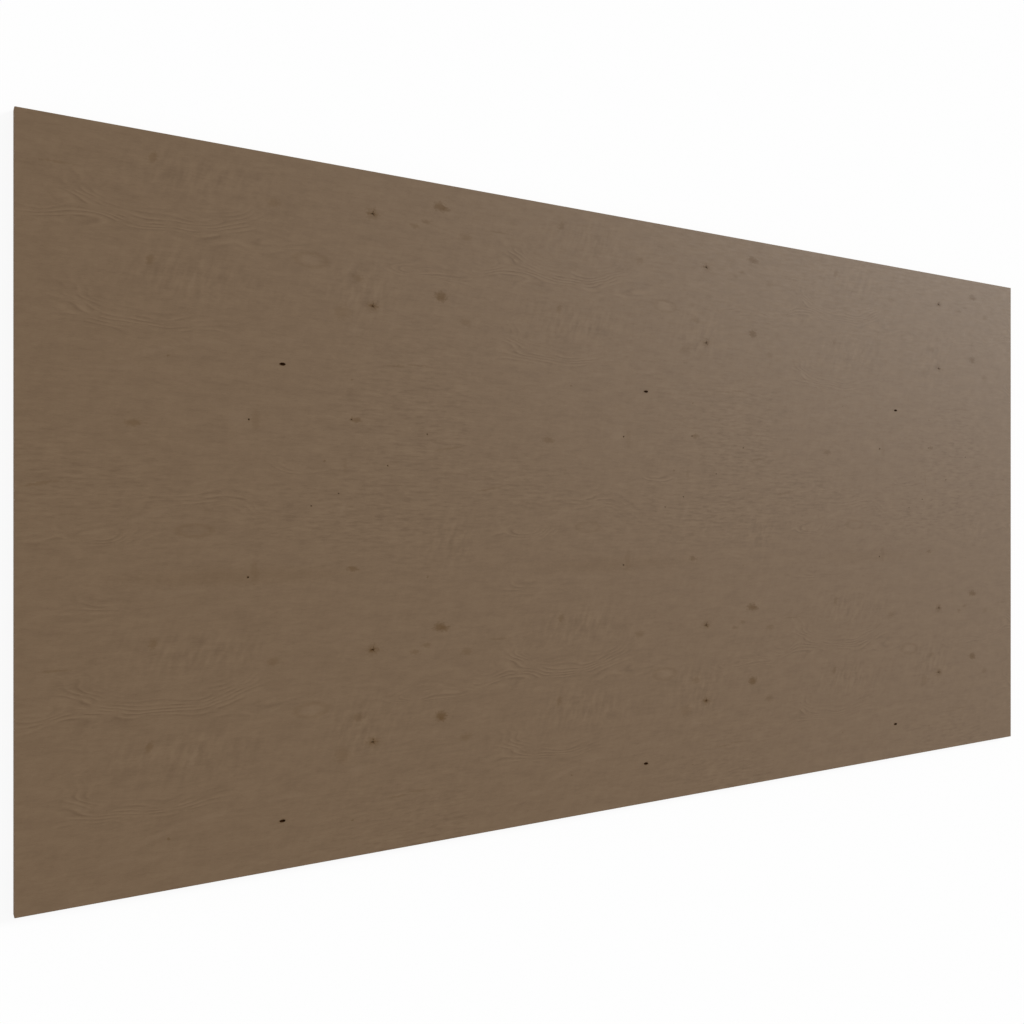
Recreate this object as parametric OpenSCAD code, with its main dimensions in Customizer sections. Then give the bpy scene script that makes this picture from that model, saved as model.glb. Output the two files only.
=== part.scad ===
// MDF panel: one sheet of medium-density fibreboard, pressed and sawn in one piece, lying flat.
// The origin is the centre of the underside. +X runs along the sheet, with the grain of its face,
// +Y runs across it, and +Z points up, out of the show face. Sizes are in millimetres.

/* [Sheet] */
// Length of the sheet, with the grain of its face
sheet_length = 2440; // [300:10:3660]
// Width of the sheet, across the grain
sheet_width = 1220; // [150:10:2440]
// Thickness of the board
board_thickness = 18; // [3:0.5:50]

/* [Edges] */
// Flat sanded on the arris between a face and a sawn edge, measured along either of them
face_arris = 0.6; // [0.1:0.1:1.4]
// Flat sanded on the four upright corners, measured along either edge
corner_arris = 1; // [0.1:0.1:3]

/* [Finish] */
// Colour of the board
board_colour = "#766452"; // color

/* [Hidden] */

// Rectangle centred on its middle, with each corner cut off by a 45 degree flat.
module arrised_rectangle(side_x, side_y, arris) {
    x = side_x / 2;
    y = side_y / 2;
    polygon([
        for (corner = [[1, 1], [-1, 1], [-1, -1], [1, -1]])
            let (
                on_x_side = [corner.x * (x - arris), corner.y * y],
                on_y_side = [corner.x * x, corner.y * (y - arris)]
            )
            each corner.x == corner.y ? [on_y_side, on_x_side] : [on_x_side, on_y_side]
    ]);
}

// The sheet seen from above, as it comes off the panel saw.
module sheet_plan() {
    linear_extrude(board_thickness, center = true)
        arrised_rectangle(sheet_length, sheet_width, corner_arris);
}

// The section across the grain, run along the whole length of the sheet.
module section_along_length() {
    rotate([90, 0, 90])
        linear_extrude(sheet_length, center = true)
            arrised_rectangle(sheet_width, board_thickness, face_arris);
}

// The section with the grain, run across the whole width of the sheet.
module section_across_width() {
    rotate([90, 0, 0])
        linear_extrude(sheet_width, center = true)
            arrised_rectangle(sheet_length, board_thickness, face_arris);
}

// The sheet: the shape that its plan and its two sections have in common.
module mdf_panel() {
    color(board_colour)
        translate([0, 0, board_thickness / 2])
            intersection() {
                sheet_plan();
                section_along_length();
                section_across_width();
            }
}

mdf_panel();
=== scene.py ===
import math

import bmesh
import bpy
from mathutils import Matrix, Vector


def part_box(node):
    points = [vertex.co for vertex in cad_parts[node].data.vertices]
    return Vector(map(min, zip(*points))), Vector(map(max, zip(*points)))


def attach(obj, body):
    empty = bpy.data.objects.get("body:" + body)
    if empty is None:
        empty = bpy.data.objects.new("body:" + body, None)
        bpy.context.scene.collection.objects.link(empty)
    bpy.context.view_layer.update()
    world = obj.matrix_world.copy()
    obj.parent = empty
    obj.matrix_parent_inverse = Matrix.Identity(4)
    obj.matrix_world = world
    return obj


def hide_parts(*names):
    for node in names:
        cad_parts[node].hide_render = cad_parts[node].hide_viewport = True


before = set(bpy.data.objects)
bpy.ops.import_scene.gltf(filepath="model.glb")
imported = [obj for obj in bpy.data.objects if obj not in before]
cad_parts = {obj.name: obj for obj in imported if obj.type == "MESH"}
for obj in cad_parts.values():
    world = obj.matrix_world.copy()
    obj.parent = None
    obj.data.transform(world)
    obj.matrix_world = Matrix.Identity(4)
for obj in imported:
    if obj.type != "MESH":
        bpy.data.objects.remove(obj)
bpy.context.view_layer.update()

# The board: one sheet of medium-density fibreboard, wood fibre and resin pressed hot into a solid
# sheet, sanded to thickness and sawn square. It is the CAD sheet with its triangles merged into
# whole faces, so its length, width, thickness and sanded arrises are the sheet's own.
MM = 0.001
low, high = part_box("mdf_panel")
LENGTH, WIDTH, THICKNESS = high - low
MERGE_DISTANCE = 0.01 * MM
FLAT_ANGLE = math.radians(1)

shell = bmesh.new()
shell.from_mesh(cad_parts["mdf_panel"].data)
bmesh.ops.remove_doubles(shell, verts=shell.verts, dist=MERGE_DISTANCE)
bmesh.ops.dissolve_limit(shell, angle_limit=FLAT_ANGLE, verts=shell.verts, edges=shell.edges)
board = bpy.data.objects.new("board", bpy.data.meshes.new("board"))
bpy.context.scene.collection.objects.link(board)

# The sawn edges: bare fibreboard where the blade went through. The pressed skins are dense and dark,
# the core between them is paler and looser, its fibres lie flat, and the blade left faint upright marks.
# Each pair of noise levels says where a tone starts and where it is full.
EDGE_CORE = (0.262, 0.180, 0.115, 1)
EDGE_SKIN = (0.185, 0.122, 0.076, 1)
EDGE_FIBRE = (0.120, 0.076, 0.045, 1)
EDGE_PALE_FIBRE = (0.340, 0.245, 0.165, 1)
EDGE_SPECULAR = 0.2
EDGE_ROUGHNESS = 0.9
EDGE_BUMP = 0.6
FIBRE_LENGTH, FIBRE_THICKNESS = 3 * MM, 0.3 * MM
FIBRE_RELIEF = 0.15 * MM
FIBRE_DETAIL = 3
DARK_FIBRES, PALE_FIBRES = (0.52, 0.75), (0.46, 0.28)
FIBRE_TINT = 0.6
CLUMP_SIZE = 5 * MM
DARK_CLUMPS = (0.5, 0.8)
CLUMP_TINT = 0.5
SKIN_DEPTH = 3 * MM
SKIN_TINT = 0.8
SKIN_SMOOTHNESS = 0.2
SAW_PITCH, SAW_DEPTH = 1.5 * MM, 0.03 * MM
SAW_WANDER = 9


class Reading:
    """A value, vector or colour in a node tree. Arithmetic on it adds Math nodes to that tree."""

    def __init__(self, socket):
        self.socket = socket
        self.tree = socket.id_data

    def node(self, kind, settings, sockets, output=0):
        """Adds a node: its settings first, then the values or links of its sockets."""
        node = self.tree.nodes.new(kind)
        for name, setting in settings.items():
            setattr(node, name, setting)
        for name, value in sockets.items():
            if isinstance(value, Reading):
                self.tree.links.new(value.socket, node.inputs[name])
            else:
                node.inputs[name].default_value = value
        return Reading(node.outputs[output])

    def math(self, operation, *values):
        """A Math node on values."""
        return self.node("ShaderNodeMath", {"operation": operation}, dict(enumerate(values)))

    def vector(self, operation, *values, output=0, **named):
        """A Vector Math node on vectors."""
        sockets = {**dict(enumerate(values)), **named}
        return self.node("ShaderNodeVectorMath", {"operation": operation}, sockets, output)

    def __add__(self, other):
        return self.math("ADD", self, other)

    def __sub__(self, other):
        return self.math("SUBTRACT", self, other)

    def __rsub__(self, other):
        return self.math("SUBTRACT", other, self)

    def __mul__(self, other):
        return self.math("MULTIPLY", self, other)

    def __truediv__(self, other):
        return self.math("DIVIDE", self, other)

    def __rtruediv__(self, other):
        return self.math("DIVIDE", other, self)

    def __pow__(self, other):
        return self.math("POWER", self, other)

    def __rpow__(self, other):
        return self.math("POWER", other, self)

    __radd__ = __add__
    __rmul__ = __mul__

    def part(self, axis):
        """One of a vector's three numbers, by the name of its axis."""
        return self.node("ShaderNodeSeparateXYZ", {}, {"Vector": self}, output=axis)

    def between(self, start, end):
        """0 up to start, 1 from end on, with a soft step between them."""
        sockets = {"Value": self, "From Min": start, "From Max": end}
        return self.node("ShaderNodeMapRange", {"interpolation_type": "SMOOTHSTEP"}, sockets)

    def mix(self, first, second):
        """The first colour where this value is 0, the second where it is 1."""
        first_colour, second_colour, mixed_colour = 6, 7, 2
        sockets = {"Factor": self, first_colour: first, second_colour: second}
        return self.node("ShaderNodeMix", {"data_type": "RGBA"}, sockets, mixed_colour)


def new_finish(name, specular):
    """A finish with a Principled shader, and the place on the board, in metres."""
    finish = bpy.data.materials.new(name)
    finish.use_nodes = True
    shader = finish.node_tree.nodes["Principled BSDF"]
    shader.inputs["Specular IOR Level"].default_value = specular
    place = finish.node_tree.nodes.new("ShaderNodeTexCoord").outputs["Object"]
    return finish, shader, Reading(place)


def noise(vector, dimensions="3D", detail=2, output="Fac", **sockets):
    """Noise from 0 to 1 whose features are about as large as 1 in the vector it reads."""
    sockets = {"Vector": vector, "Scale": 1, "Detail": detail, **sockets}
    return vector.node("ShaderNodeTexNoise", {"noise_dimensions": dimensions}, sockets, output)


def wear(shader, relief, bump_strength, **finished):
    """Links readings to the shader's sockets, with _ for a space, and relief in metres as its bump."""
    sockets = {"Height": relief, "Distance": 1, "Strength": bump_strength}
    bump = relief.node("ShaderNodeBump", {}, sockets)
    for name, reading in {**finished, "Normal": bump}.items():
        reading.tree.links.new(reading.socket, shader.inputs[name.replace("_", " ")])


sawn_edge, shader, place = new_finish("sawn_edge", EDGE_SPECULAR)
flat_lying = place.vector("DIVIDE", place, (FIBRE_LENGTH, FIBRE_LENGTH, FIBRE_THICKNESS))
fibres = noise(flat_lying, detail=FIBRE_DETAIL)
clumps = noise(place.vector("SCALE", place, Scale=1 / CLUMP_SIZE))
off_middle = place.math("ABSOLUTE", place.part("Z") - THICKNESS / 2)
skin = off_middle.between(THICKNESS / 2 - SKIN_DEPTH, THICKNESS / 2)
along_edge = place.vector("DOT_PRODUCT", place, (1, 1, 0), output="Value")
saw_marks = place.math("SINE", along_edge * (2 * math.pi / SAW_PITCH) + clumps * SAW_WANDER)
colour = (skin * SKIN_TINT).mix(EDGE_CORE, EDGE_SKIN)
colour = (fibres.between(*DARK_FIBRES) * FIBRE_TINT).mix(colour, EDGE_FIBRE)
colour = (fibres.between(*PALE_FIBRES) * FIBRE_TINT).mix(colour, EDGE_PALE_FIBRE)
colour = (clumps.between(*DARK_CLUMPS) * CLUMP_TINT).mix(colour, EDGE_SKIN)
relief = fibres * FIBRE_RELIEF + saw_marks * SAW_DEPTH
wear(shader, relief, EDGE_BUMP, Base_Color=colour, Roughness=EDGE_ROUGHNESS - skin * SKIN_SMOOTHNESS)

# The underside: bare fibreboard, belt-sanded along the sheet, without the face's figure. Short fibres
# lie in every direction in an even brown, and the belt left long hairlines.
UNDERSIDE_BROWN = (0.215, 0.148, 0.096, 1)
UNDERSIDE_DARK = (0.140, 0.092, 0.056, 1)
UNDERSIDE_PALE = (0.300, 0.215, 0.145, 1)
UNDERSIDE_SPECULAR = 0.25
UNDERSIDE_ROUGHNESS = 0.7
UNDERSIDE_BUMP = 0.5
FLECK_SIZE = 1.2 * MM
FLECK_DETAIL = 4
FLECK_TWIST = 1.5
FLECK_RELIEF = 0.05 * MM
FLECK_ROUGHNESS = 0.1
DARK_FLECKS, PALE_FLECKS = (0.5, 0.8), (0.48, 0.25)
DARK_FLECK_TINT, PALE_FLECK_TINT = 0.7, 0.6
CLOUD_SIZE = 160 * MM
CLOUD_DETAIL = 3
DARK_CLOUDS = (0.4, 0.8)
CLOUD_TINT = 0.25
BELT_LINE_LENGTH, BELT_LINE_WIDTH = 160 * MM, 0.7 * MM
BELT_LINE_RELIEF = 0.03 * MM
PALE_BELT_LINES = (0.55, 0.75)
BELT_LINE_TINT = 0.25

underside, shader, place = new_finish("sanded_underside", UNDERSIDE_SPECULAR)
in_flecks = place.vector("SCALE", place, Scale=1 / FLECK_SIZE)
flecks = noise(in_flecks, detail=FLECK_DETAIL, Distortion=FLECK_TWIST)
clouds = noise(place.vector("SCALE", place, Scale=1 / CLOUD_SIZE), detail=CLOUD_DETAIL)
belt_lines = noise(place.vector("DIVIDE", place, (BELT_LINE_LENGTH, BELT_LINE_WIDTH, 1)), "2D")
colour = (flecks.between(*DARK_FLECKS) * DARK_FLECK_TINT).mix(UNDERSIDE_BROWN, UNDERSIDE_DARK)
colour = (flecks.between(*PALE_FLECKS) * PALE_FLECK_TINT).mix(colour, UNDERSIDE_PALE)
colour = (clouds.between(*DARK_CLOUDS) * CLOUD_TINT).mix(colour, UNDERSIDE_DARK)
colour = (belt_lines.between(*PALE_BELT_LINES) * BELT_LINE_TINT).mix(colour, UNDERSIDE_PALE)
relief = flecks * FLECK_RELIEF + belt_lines * BELT_LINE_RELIEF
roughness = UNDERSIDE_ROUGHNESS + flecks * FLECK_ROUGHNESS
wear(shader, relief, UNDERSIDE_BUMP, Base_Color=colour, Roughness=roughness)

# The show face: a brown wood figure with a satin finish, as rotary-cut birch has it. It repeats all
# over the sheet, and in each repeat the same marks come round again one turn of the log further down.
# Its places and sizes are in millimetres, from the left end of the sheet and down from its back edge.
REPEAT = 780 * MM
EARLY_WOOD = (0.166, 0.108, 0.061, 1)
LATE_WOOD = (0.108, 0.065, 0.034, 1)
PALE_WOOD = (0.200, 0.135, 0.082, 1)
KNOT_BROWN = (0.075, 0.033, 0.002, 1)
FACE_SPECULAR = 0.25
FACE_ROUGHNESS = 0.56
FACE_BUMP = 0.4
NOISE_MEAN = 0.5

show_face, shader, on_face = new_finish("figured_face", FACE_SPECULAR)
from_corner = on_face.vector("MULTIPLY_ADD", on_face, (1, -1, 0), (LENGTH / 2, WIDTH / 2, 0))


def grain_noise(length, width, detail, output="Fac"):
    """Noise drawn out along the grain, all over the sheet, without the figure's repeat."""
    along_grain = on_face.vector("DIVIDE", on_face, (length * MM, width * MM, 1))
    return noise(along_grain, "2D", detail, output)


def strayed(start, length, width, along, across):
    """A place led astray by noise, so that what is drawn there gets an uneven outline."""
    stray = on_face.vector("SUBTRACT", grain_noise(length, width, 1, "Color"), (NOISE_MEAN,) * 3)
    return on_face.vector("MULTIPLY_ADD", stray, (along * MM, across * MM, 0), start)


def in_repeat(start):
    """A place counted from the corner of its own repeat of the figure."""
    return on_face.vector("WRAP", start, (REPEAT, REPEAT, 1), (0, 0, 0))


def reach_from(start, x, y, half_length, half_width):
    """Square of the distance from a mark's middle, counted in half the mark's size."""
    scale = (1 / (half_length * MM), 1 / (half_width * MM), 0)
    offset = on_face.vector("MULTIPLY_ADD", start, scale, (-x / half_length, -y / half_width, 0))
    return on_face.vector("DOT_PRODUCT", offset, offset, output="Value")


def bell(reach):
    """1 in the middle of a mark, falling off softly past half its size."""
    return (1 / math.e) ** reach


# Growth rings show as contour lines, crowded on the walls of the hollows and swellings in the log, and
# broken up where the knife met them flat.
RINGS_A_REPEAT = 20
RING_DRIFT = 3
DRIFT_LENGTH, DRIFT_WIDTH = 100 * MM, 28 * MM
RING_STRAYS = (
    # length and width of the noise, how far along and across it leads
    (80, 40, 14, 8),
    (24, 8, 4, 1.2),
)
HOLLOWS = (
    # middle, half length, half width, rings deep
    (225, 95, 150, 52, 6),
    (205, 262, 135, 48, 5),
    (15, 128, 45, 28, 2),
    (700, 168, 85, 10, 2),
    (450, 530, 52, 14, 1.5),
    (285, 642, 120, 64, -3),
    (118, 640, 48, 18, 1.5),
    (20, 640, 45, 18, 1.5),
    (150, 735, 65, 30, 2.5),
)
LINED_PLACES = (
    # middle, half length, half width, strength
    (215, 146, 150, 17, 1.0),
    (90, 122, 26, 30, 0.9),
    (330, 124, 40, 16, 0.6),
    (40, 155, 70, 10, 0.5),
    (360, 160, 70, 9, 0.6),
    (190, 306, 120, 14, 0.8),
    (88, 286, 26, 26, 0.8),
    (700, 168, 90, 15, 0.7),
    (450, 541, 56, 8, 1.0),
    (290, 588, 90, 20, 0.7),
    (90, 650, 80, 13, 0.8),
    (110, 758, 50, 16, 0.7),
)
LINED_ELSEWHERE = 0.12
BREAK_LENGTH, BREAK_WIDTH = 36, 12
UNBROKEN = (0.3, 0.62)
LINE_SHARPNESS = 3
PALE_LINE_LAG = 2.2
LATE_LINE_SHADE, PALE_LINE_SHADE = 0.4, 0.36

ring_start = from_corner
for stray in RING_STRAYS:
    ring_start = strayed(ring_start, *stray)
ring_start = in_repeat(ring_start)
ring_drift = noise(on_face.vector("DIVIDE", ring_start, (DRIFT_LENGTH, DRIFT_WIDTH, 1)), "2D", 0)
rings = ring_start.part("Y") * (RINGS_A_REPEAT / REPEAT) + ring_drift * RING_DRIFT
for *size, depth in HOLLOWS:
    reach = reach_from(ring_start, *size)
    rings = on_face.math("MULTIPLY_ADD", bell(reach * reach), -depth, rings)


def spread(elsewhere, places):
    """An amount that is the same all over a repeat, and larger round some places in it."""
    amount = elsewhere
    for *size, more in places:
        amount = on_face.math("MULTIPLY_ADD", bell(reach_from(ring_start, *size)), more, amount)
    return amount


def ring_lines(phase):
    """One thin line in each ring, where its phase comes round."""
    return (0.5 + on_face.math("COSINE", phase) * 0.5) ** LINE_SHARPNESS


unbroken = grain_noise(BREAK_LENGTH, BREAK_WIDTH, 1).between(*UNBROKEN)
lined = spread(LINED_ELSEWHERE, LINED_PLACES) * unbroken
ring_phase = rings * (2 * math.pi)
late_lines = ring_lines(ring_phase) * LATE_LINE_SHADE
pale_lines = ring_lines(ring_phase + PALE_LINE_LAG) * PALE_LINE_SHADE

# Streaks and fibres run along the grain, curl leans across it, and vessels show as fine dark dashes.
STREAKED_PLACES = (
    # middle, half length, half width, strength
    (670, 460, 160, 130, 0.35),
    (560, 620, 240, 60, 0.35),
    (60, 560, 150, 60, 0.35),
)
STREAKED_ELSEWHERE = 0.15
STREAK_LENGTH, STREAK_WIDTH = 28, 5
DARK_STREAKS, PALE_STREAKS = (0.52, 0.75), (0.45, 0.22)
DARK_STREAK_SHADE, PALE_STREAK_SHADE = 0.55, 0.45
STREAK_ROUGHNESS = 0.08
CURLED_PLACES = (
    # middle, half length, half width, strength
    (260, 60, 100, 32, 0.75),
    (250, 228, 110, 36, 0.75),
    (560, 215, 60, 50, 0.75),
    (740, 660, 50, 40, 0.75),
)
CURLED_ELSEWHERE = 0.2
CURL_LEAN = math.radians(22)
CURL_LENGTH, CURL_WIDTH = 30 * MM, 12 * MM
MOTTLE_LENGTH, MOTTLE_WIDTH = 64, 20
MOTTLE_DETAIL = 3
MOTTLE_SHADE = 0.5
GRAIN_LENGTH, GRAIN_WIDTH = 9, 0.8
GRAIN_DETAIL = 2
GRAIN_SHADE = 0.4
GRAIN_RELIEF = 0.03 * MM
VESSEL_LENGTH, VESSEL_WIDTH = 4, 0.4
VESSELS = (0.62, 0.72)
VESSEL_SHADE = 0.25
VESSEL_DEPTH = 0.04 * MM
PLAIN_SHADE = 0.28


def turned(start, angle):
    """A place turned about the corner that it is counted from."""
    sockets = {"Vector": start, "Angle": angle}
    return on_face.node("ShaderNodeVectorRotate", {"rotation_type": "Z_AXIS"}, sockets)


mottle = grain_noise(MOTTLE_LENGTH, MOTTLE_WIDTH, MOTTLE_DETAIL)
streaks = grain_noise(STREAK_LENGTH, STREAK_WIDTH, 1)
dark_streaks = streaks.between(*DARK_STREAKS) * DARK_STREAK_SHADE
pale_streaks = streaks.between(*PALE_STREAKS) * PALE_STREAK_SHADE
in_curl = on_face.vector("DIVIDE", turned(on_face, CURL_LEAN), (CURL_WIDTH, CURL_LENGTH, 1))
curl = noise(in_curl, "2D", 1)
grain = grain_noise(GRAIN_LENGTH, GRAIN_WIDTH, GRAIN_DETAIL)
vessels = grain_noise(VESSEL_LENGTH, VESSEL_WIDTH, 1).between(*VESSELS)
shade = PLAIN_SHADE + (mottle - NOISE_MEAN) * MOTTLE_SHADE
shade = shade + (dark_streaks - pale_streaks) * spread(STREAKED_ELSEWHERE, STREAKED_PLACES)
shade = shade + (curl - NOISE_MEAN) * spread(CURLED_ELSEWHERE, CURLED_PLACES)
shade = shade + (grain - NOISE_MEAN) * GRAIN_SHADE + vessels * VESSEL_SHADE
shade = shade + (late_lines - pale_lines) * lined
colour = shade.mix(EARLY_WOOD, LATE_WOOD)

# Pale flares beside the figure, stains, and the brown rims of open knots, each kind with its places in
# a repeat. All of them have blotchy outlines.
KNOTHOLES = ((412, 357),)
STAR_KNOTS = ((577, 76), (577, 241))
STAR_UPPER_ARMS = ((578, 73), (578, 238))
STAR_LOWER_ARMS = ((579, 78), (579, 243))
LARGE_PIN_KNOTS = ((354, 454), (353, 719))
PIN_KNOTS = ((685, 466), (606, 526), (513, 577), (463, 599), (537, 446))
FLARES = (
    # half length, half width, turn in degrees, paleness, middles
    (40, 5, 18, 0.17, ((205, 350),)),
    (36, 5, 4, 0.16, ((285, 331), (145, 381), (415, 316))),
    (42, 5, 16, 0.17, ((200, 614),)),
    (18, 5, -52, 0.13, ((93, 288),)),
    (55, 4, 0, 0.13, ((245, 741), (630, 742))),
    (16, 17, 0, 0.20, ((337, 453),)),
    (5, 17, -22, 0.22, ((262, 232), (520, 606))),
    (14, 8, 0, 0.20, ((546, 287),)),
)
STAINS = (
    # half length, half width, turn in degrees, darkness, middles
    (190, 15, 0, 0.11, ((335, 717),)),
    (15, 13, 0, 0.20, ((520, 258),)),
    (12, 7, 0, 0.26, ((396, 84), (767, 92), (765, 253), (549, 194))),
    (9, 4, 0, 0.32, ((660, 86), (683, 75))),
    (6, 10, -25, 0.32, ((200, 41), (195, 206))),
    (13, 8, 0, 0.62, ((711, 43), (713, 208))),
    (14, 6, 0, 0.38, ((170, 468),)),
    (10, 5, 0, 0.46, ((546, 446), (539, 710), (722, 46), (715, 214))),
    (7, 20, 0, 0.16, ((366, 455), (364, 712))),
    (24, 1.8, 0, 0.22, ((625, 345), (668, 341), (57, 73))),
    (28, 2.6, 10, 0.22, ((730, 491), (35, 566))),
    (4, 15, 0, 0.13, ((525, 528),)),
    (2.4, 1.8, 0, 0.45, ((539, 375), (685, 729), (224, 357), (487, 521))),
    (13, 10, 0, 0.32, STAR_KNOTS),
    (6, 1.4, 70, 0.36, STAR_UPPER_ARMS),
    (6, 1.4, -38, 0.36, STAR_LOWER_ARMS),
    (8, 3, 0, 0.64, STAR_KNOTS),
    (7, 3.6, 0, 0.60, KNOTHOLES),
    (2.6, 2.6, 0, 0.50, LARGE_PIN_KNOTS),
    (2.4, 1.8, 0, 0.40, PIN_KNOTS),
)
MARK_STRAY = (9, 5, 7, 4)
MARK_EDGE = (1.4, 0.3)
BLOTCH_LENGTH, BLOTCH_WIDTH = 6, 4
BLOTCH_DETAIL = 2
BLOTCH_LEAST, BLOTCH_RANGE = 0.4, 1.2

blotches = BLOTCH_LEAST + grain_noise(BLOTCH_LENGTH, BLOTCH_WIDTH, BLOTCH_DETAIL) * BLOTCH_RANGE
mark_start = in_repeat(strayed(from_corner, *MARK_STRAY))


def marked(colour, tone, kinds):
    """The colour with each kind of mark laid over it in a tone."""
    for half_length, half_width, turn, strength, middles in kinds:
        angle = math.radians(turn)
        start = turned(mark_start, angle) if turn else mark_start
        start = on_face.vector("DIVIDE", start, (half_length * MM, half_width * MM, 1))
        nearest = None
        for x, y in middles:
            along = x * math.cos(angle) - y * math.sin(angle)
            across = x * math.sin(angle) + y * math.cos(angle)
            middle = (along / half_length, across / half_width, 0)
            distance = on_face.vector("DISTANCE", start, middle, output="Value")
            nearest = on_face.math("MINIMUM", nearest, distance) if nearest else distance
        colour = ((nearest * blotches).between(*MARK_EDGE) * strength).mix(colour, tone)
    return colour


colour = marked(colour, PALE_WOOD, FLARES)
colour = marked(colour, KNOT_BROWN, STAINS)

# Eyes, where the knife just cut the top off a swelling: a thin dark rim, and in one a pale middle.
EYES = (
    # middle, half length, half width, paleness of the middle
    (463, 173, 28, 12, 0.26),
    (265, 640, 27, 10, 0),
)
EYE_RIM_TINT = 0.16
EYE_RIM_SHARPNESS, EYE_MIDDLE_SHARPNESS = 2, 2.5

for *size, paleness in EYES:
    reach = reach_from(mark_start, *size)
    off_rim = (reach - 1) * EYE_RIM_SHARPNESS
    colour = (bell(off_rim * off_rim) * EYE_RIM_TINT).mix(colour, KNOT_BROWN)
    if paleness:
        colour = (bell(reach * EYE_MIDDLE_SHARPNESS) * paleness).mix(colour, PALE_WOOD)
relief = grain * GRAIN_RELIEF - vessels * VESSEL_DEPTH
roughness = FACE_ROUGHNESS + streaks * STREAK_ROUGHNESS
wear(shader, relief, FACE_BUMP, Base_Color=colour, Roughness=roughness)

# Each is a small ragged hollow, and all come round in every repeat of the figure.
OPEN_KNOTS = (
    # half length, half width, depth, turn in degrees, middles in a repeat
    (5.4, 2.4, 2.6, 0, KNOTHOLES),
    (1.4, 1.4, 1.4, 0, LARGE_PIN_KNOTS),
    (1.2, 0.9, 0.8, 0, PIN_KNOTS),
    (2.6, 0.8, 0.9, 0, STAR_KNOTS),
    (4.5, 0.25, 0.6, 12, STAR_KNOTS),
    (2.6, 0.30, 0.5, -38, STAR_LOWER_ARMS),
    (2.6, 0.30, 0.5, 70, STAR_UPPER_ARMS),
)
# Inside the hollows: a near-black that is painted shade, broken by splinters of the knot's own dark
# brown wood.
HOLE_BLACK_PAINTED_SHADE = (0.012, 0.004, 0.001, 1)
HOLE_BROWN = (0.040, 0.016, 0.004, 1)
HOLE_SPECULAR = 0.05
HOLE_ROUGHNESS = 0.85
HOLE_BUMP = 0.5
HOLE_MARGIN = 15 * MM
HOLE_RAGGEDNESS = 0.9
HOLE_SEGMENTS, HOLE_RINGS = 28, 10
SPLINTER_SIZE = 1.5 * MM
SPLINTER_RELIEF = 0.2 * MM
SPLINTER_ROUGHNESS = 0.1
BROWN_SPLINTERS = (0.4, 0.7)

knot_hole, shader, place = new_finish("knot_hole", HOLE_SPECULAR)
splinters = noise(place.vector("SCALE", place, Scale=1 / SPLINTER_SIZE))
# The hollows' colour: the knot's brown wood over near-black painted shade.
colour = splinters.between(*BROWN_SPLINTERS).mix(HOLE_BLACK_PAINTED_SHADE, HOLE_BROWN)
roughness = HOLE_ROUGHNESS + splinters * SPLINTER_ROUGHNESS
wear(shader, splinters * SPLINTER_RELIEF, HOLE_BUMP, Base_Color=colour, Roughness=roughness)

knots = bpy.data.objects.new("knots", bpy.data.meshes.new("knots"))
bpy.context.scene.collection.objects.link(knots)
middles, half_sizes, turns = [], [], []
for half_length, half_width, depth, turn, places in OPEN_KNOTS:
    for x, y in places:
        middles.append((low.x + x * MM, high.y - y * MM, high.z))
        half_sizes.append((half_length * MM, half_width * MM, depth * MM))
        turns.append(math.radians(turn))
knots.data.from_pydata(middles, [], [])
knot_sizes = knots.data.attributes.new("half_size", "FLOAT_VECTOR", "POINT")
for item, half_size in zip(knot_sizes.data, half_sizes):
    item.vector = half_size
knot_turns = knots.data.attributes.new("turn", "FLOAT", "POINT")
for item, turn in zip(knot_turns.data, turns):
    item.value = turn

knot_tree = bpy.data.node_groups.new("open_knots", "GeometryNodeTree")
knot_inputs = {
    "Repeat": REPEAT,
    "Sheet length": LENGTH,
    "Sheet width": WIDTH,
    "Margin": HOLE_MARGIN,
    "Raggedness": HOLE_RAGGEDNESS,
    "Finish": knot_hole,
}
knot_tree.interface.new_socket("Geometry", in_out="INPUT", socket_type="NodeSocketGeometry")
for name in knot_inputs:
    kind = "NodeSocketMaterial" if name == "Finish" else "NodeSocketFloat"
    knot_tree.interface.new_socket(name, in_out="INPUT", socket_type=kind)
knot_tree.interface.new_socket("Geometry", in_out="OUTPUT", socket_type="NodeSocketGeometry")
group_input = knot_tree.nodes.new("NodeGroupInput")
given = {socket.name: Reading(socket) for socket in group_input.outputs if socket.name}
one_repeat = given["Geometry"]
add = one_repeat.node
columns = one_repeat.math("CEIL", given["Sheet length"] / given["Repeat"])
rows = one_repeat.math("CEIL", given["Sheet width"] / given["Repeat"])
grid_length = (columns - 1) * given["Repeat"]
grid_width = (rows - 1) * given["Repeat"]
grid_sizes = {"Size X": grid_length, "Size Y": grid_width, "Vertices X": columns, "Vertices Y": rows}
grid = add("GeometryNodeMeshGrid", {}, grid_sizes)
first_corner = add("ShaderNodeCombineXYZ", {}, {"X": grid_length / 2, "Y": grid_width / -2})
grid = add("GeometryNodeTransform", {}, {"Geometry": grid, "Translation": first_corner})
repeats = add("GeometryNodeInstanceOnPoints", {}, {"Points": grid, "Instance": one_repeat})
all_knots = add("GeometryNodeRealizeInstances", {}, {"Geometry": repeats})
position = add("GeometryNodeInputPosition", {}, {})
from_middle = position.vector("ABSOLUTE", position)
past_end = from_middle.part("X") - (given["Sheet length"] / 2 - given["Margin"])
past_side = from_middle.part("Y") - (given["Sheet width"] / 2 - given["Margin"])
off_sheet = past_end.math("GREATER_THAN", past_end.math("MAXIMUM", past_end, past_side), 0)
all_knots = add("GeometryNodeDeleteGeometry", {}, {"Geometry": all_knots, "Selection": off_sheet})


def stored(name, kind):
    """What each open knot's point carries under a name."""
    return add("GeometryNodeInputNamedAttribute", {"data_type": kind}, {"Name": name})


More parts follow.
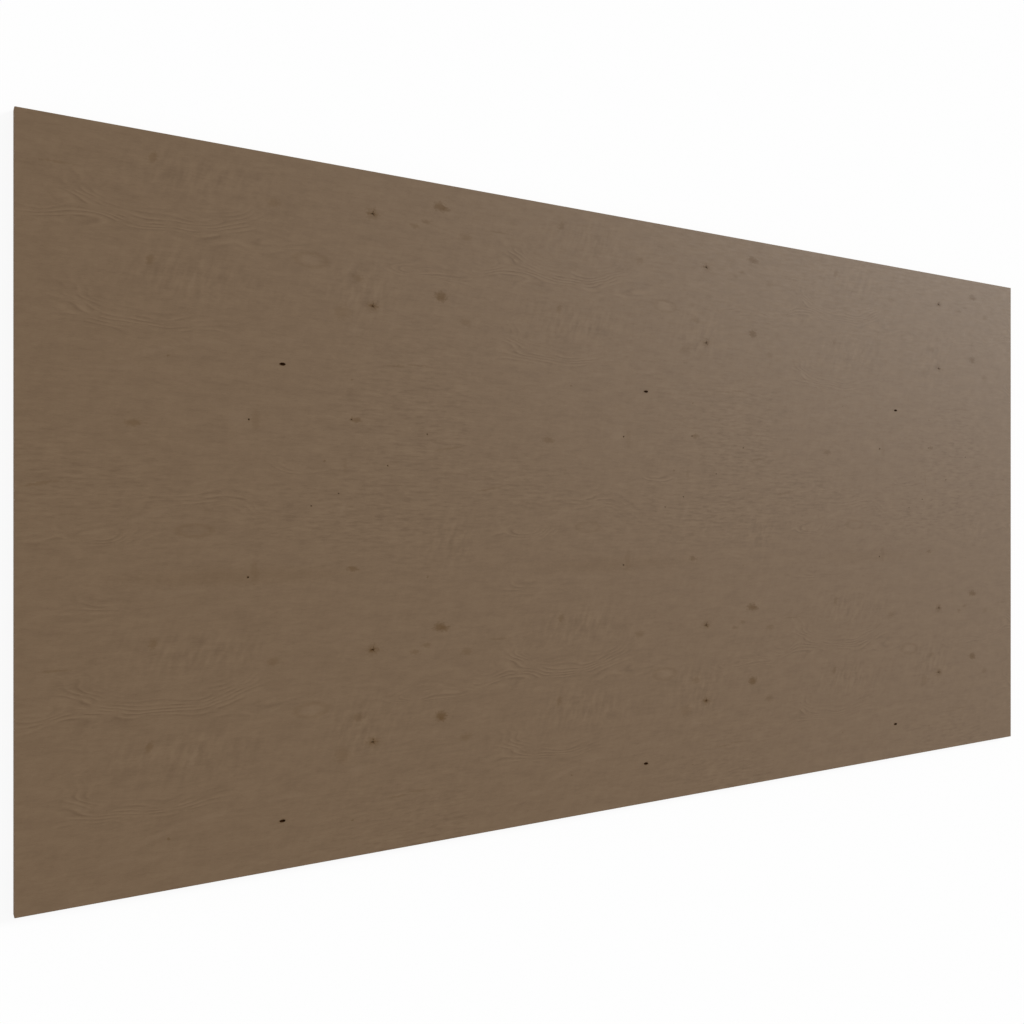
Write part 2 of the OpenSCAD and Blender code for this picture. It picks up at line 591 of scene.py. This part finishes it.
knot_size = stored("half_size", "FLOAT_VECTOR")
knot_turn = add("ShaderNodeCombineXYZ", {}, {"Z": stored("turn", "FLOAT")})
ball_sizes = {"Segments": HOLE_SEGMENTS, "Rings": HOLE_RINGS, "Radius": 1}
ball = add("GeometryNodeMeshUVSphere", {}, ball_sizes)
on_points = {"Points": all_knots, "Instance": ball, "Scale": knot_size, "Rotation": knot_turn}
hollows = add("GeometryNodeInstanceOnPoints", {}, on_points)
hollows = add("GeometryNodeRealizeInstances", {}, {"Geometry": hollows})
ragged = noise(position.vector("SCALE", position, Scale=1 / SPLINTER_SIZE), output="Color")
ragged = ragged.vector("SUBTRACT", ragged, (NOISE_MEAN,) * 3)
ragged = ragged.vector("SCALE", ragged, Scale=knot_size.part("Y") * given["Raggedness"])
hollows = add("GeometryNodeSetPosition", {}, {"Geometry": hollows, "Offset": ragged})
hollows = add("GeometryNodeSetMaterial", {}, {"Geometry": hollows, "Material": given["Finish"]})
knot_tree.links.new(hollows.socket, knot_tree.nodes.new("NodeGroupOutput").inputs["Geometry"])
modifier = knots.modifiers.new("open_knots", "NODES")
modifier.node_group = knot_tree
for item in knot_tree.interface.items_tree:
    if item.name in knot_inputs:
        modifier[item.identifier] = knot_inputs[item.name]

# The finished board: each face gets its finish, the open knots are cut out of the show face, and the
# faces are laid out for baked colour, the show face largest, then the underside, then the edges in
# strips. A room in the layout has a left and a bottom side, a width and a height.
LEVEL_NORMAL = 0.9
FACE_ROOM = (0.0, 0.42, 1.0, 0.58)
UNDERSIDE_ROOM = (0.0, 0.11, 1.0, 0.30)
BACK_ROOM = (0.0, 0.074, 1.0, 0.028)
FRONT_ROOM = (0.0, 0.037, 1.0, 0.028)
LEFT_ROOM = (0.0, 0.0, 0.495, 0.028)
RIGHT_ROOM = (0.505, 0.0, 0.495, 0.028)


def made_plain(piece):
    """The piece's mesh as its modifiers leave it, with the modifiers taken off."""
    bpy.context.view_layer.update()
    shaped = piece.evaluated_get(bpy.context.evaluated_depsgraph_get())
    finished = bpy.data.meshes.new_from_object(shaped)
    piece.modifiers.clear()
    piece.data = finished


finishes = (show_face, underside, sawn_edge)
for finish in finishes:
    board.data.materials.append(finish)
for face in shell.faces:
    finish = sawn_edge
    if abs(face.normal.z) > LEVEL_NORMAL:
        finish = show_face if face.normal.z > 0 else underside
    face.material_index = finishes.index(finish)
shell.to_mesh(board.data)
shell.free()
made_plain(knots)
cut = board.modifiers.new("open_knots", "BOOLEAN")
cut.operation = "DIFFERENCE"
cut.solver = "EXACT"
cut.use_self = True
cut.material_mode = "TRANSFER"
cut.object = knots
made_plain(board)
bpy.data.objects.remove(knots)
for face in board.data.polygons:
    face.use_smooth = board.data.materials[face.material_index] == knot_hole


def room_for(face):
    """Where a face goes in the layout, and which two of its axes run across and up there."""
    finish = board.data.materials[face.material_index]
    if finish != sawn_edge:
        return (UNDERSIDE_ROOM if finish == underside else FACE_ROOM), 0, 1
    if abs(face.normal.y) > abs(face.normal.x):
        return (BACK_ROOM if face.normal.y > 0 else FRONT_ROOM), 0, 2
    return (RIGHT_ROOM if face.normal.x > 0 else LEFT_ROOM), 1, 2


layout = board.data.uv_layers.new(name="OFBake")
for face in board.data.polygons:
    (left, bottom, wide, tall), across, up = room_for(face)
    for corner in face.loop_indices:
        point = board.data.vertices[board.data.loops[corner].vertex_index].co
        share = [(point[axis] - low[axis]) / (high[axis] - low[axis]) for axis in (across, up)]
        layout.uv[corner].vector = (left + share[0] * wide, bottom + share[1] * tall)
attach(board, "root")
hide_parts("mdf_panel")

# The floor: a plain white studio floor under the sheet. Its own white is seen straight on, and what is
# left of its shading keeps the sheet's soft shadow.
FLOOR_SIZE = 30.0
FLOOR_WHITE = (0.9, 0.9, 0.9, 1)
FLOOR_SPECULAR, FLOOR_ROUGHNESS = 0, 1
FLOOR_GLOW_SHARE = 0.9
PURE_WHITE = (1, 1, 1, 1)

floor_shape = bmesh.new()
bmesh.ops.create_grid(floor_shape, x_segments=1, y_segments=1, size=FLOOR_SIZE / 2)
floor = bpy.data.objects.new("floor", bpy.data.meshes.new("floor"))
floor_shape.to_mesh(floor.data)
floor_shape.free()
bpy.context.scene.collection.objects.link(floor)
floor_white, shader, _ = new_finish("floor_white", FLOOR_SPECULAR)
floor_white.cycles.emission_sampling = "NONE"
shader.inputs["Base Color"].default_value = FLOOR_WHITE
shader.inputs["Roughness"].default_value = FLOOR_ROUGHNESS


def seen_directly(tree):
    """1 where the camera, a reflection or a clear material looks, and 0 for light on other surfaces."""
    path = tree.nodes.new("ShaderNodeLightPath").outputs
    seen = Reading(path["Is Camera Ray"])
    for ray in ("Is Glossy Ray", "Is Transmission Ray"):
        seen = seen.math("MAXIMUM", seen, Reading(path[ray]))
    return seen


floor_tree = floor_white.node_tree
shaded = Reading(shader.outputs[0])
glow = shaded.node("ShaderNodeEmission", {}, {"Color": PURE_WHITE, "Strength": 1})
glow_share = seen_directly(floor_tree) * FLOOR_GLOW_SHARE
surface = shaded.node("ShaderNodeMixShader", {}, {0: glow_share, 1: shaded, 2: glow})
floor_tree.links.new(surface.socket, floor_tree.nodes["Material Output"].inputs["Surface"])
floor.data.materials.append(floor_white)

# The light: a white room all round, and one low soft lamp far off past the right end, whose sheen lies
# over the far corner of the face.
ROOM_LIGHT = 0.58
LAMP_STRENGTH = 2.5
LAMP_AZIMUTH, LAMP_ELEVATION = math.radians(26), math.radians(32)
LAMP_SOFTNESS = math.radians(20)

room = bpy.data.worlds.new("white_room")
room.use_nodes = True
bpy.context.scene.world = room
room_tree = room.node_tree
room_light = room_tree.nodes["Background"]
room_light.inputs["Color"].default_value = PURE_WHITE
room_light.inputs["Strength"].default_value = ROOM_LIGHT
walls = Reading(room_light.outputs[0])
white = walls.node("ShaderNodeBackground", {}, {"Color": PURE_WHITE, "Strength": 1})
surface = walls.node("ShaderNodeMixShader", {}, {0: seen_directly(room_tree), 1: walls, 2: white})
room_tree.links.new(surface.socket, room_tree.nodes["World Output"].inputs["Surface"])
lamp = bpy.data.objects.new("lamp", bpy.data.lights.new("lamp", "SUN"))
lamp.data.energy = LAMP_STRENGTH
lamp.data.angle = LAMP_SOFTNESS
lamp.rotation_euler = (0, math.pi / 2 - LAMP_ELEVATION, LAMP_AZIMUTH)
bpy.context.scene.collection.objects.link(lamp)

# The camera looks down on the sheet from past its left end, with the sheet's back edge at the top of
# the picture. Its place is in metres.
CAMERA_PAST_END = 0.1237
CAMERA_TOWARDS_BACK = 0.0004
CAMERA_ABOVE_FACE = 1.6882
CAMERA_LEAN = math.radians(30.387)
CAMERA_LENS, CAMERA_SENSOR = 35.57, 36.0

camera = bpy.data.objects.new("camera", bpy.data.cameras.new("camera"))
camera.data.sensor_width = CAMERA_SENSOR
camera.data.lens = CAMERA_LENS
camera.location = (low.x - CAMERA_PAST_END, CAMERA_TOWARDS_BACK, high.z + CAMERA_ABOVE_FACE)
camera.rotation_euler = (0, -CAMERA_LEAN, 0)
bpy.context.scene.collection.objects.link(camera)
bpy.context.scene.camera = camera
bpy.context.scene.view_settings.view_transform = "Standard"
